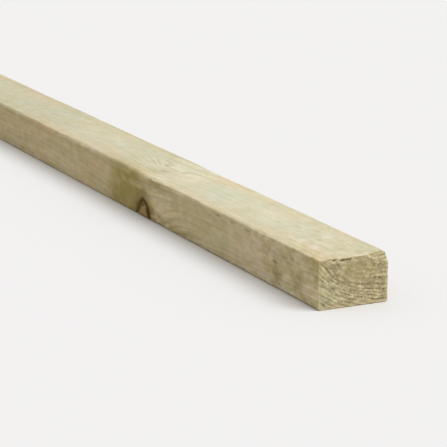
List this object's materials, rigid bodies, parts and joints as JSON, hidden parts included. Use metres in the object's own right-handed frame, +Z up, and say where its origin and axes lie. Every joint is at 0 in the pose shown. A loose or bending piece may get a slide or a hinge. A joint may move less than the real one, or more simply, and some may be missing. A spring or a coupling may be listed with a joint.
{
  "type": "timber plank",
  "caption": "Straight plank of pale treated sawn softwood: rectangular section with eased long edges, square-cut ends and a broken end corner, for battens, framing and fencing.",
  "frame": {"origin": "centre of the underside, midway between the two saw cuts", "axes": "+X along the length towards the broken corner, +Y across the wide face, +Z up out of the upper wide face"},
  "size_m": [1.8, 0.038, 0.025],
  "materials": {
    "treated_softwood": "sawn, unsealed, faint green preservative tint"
  },
  "bodies": {
    "root": {"plank": "treated_softwood"}
  },
  "joints": []
}
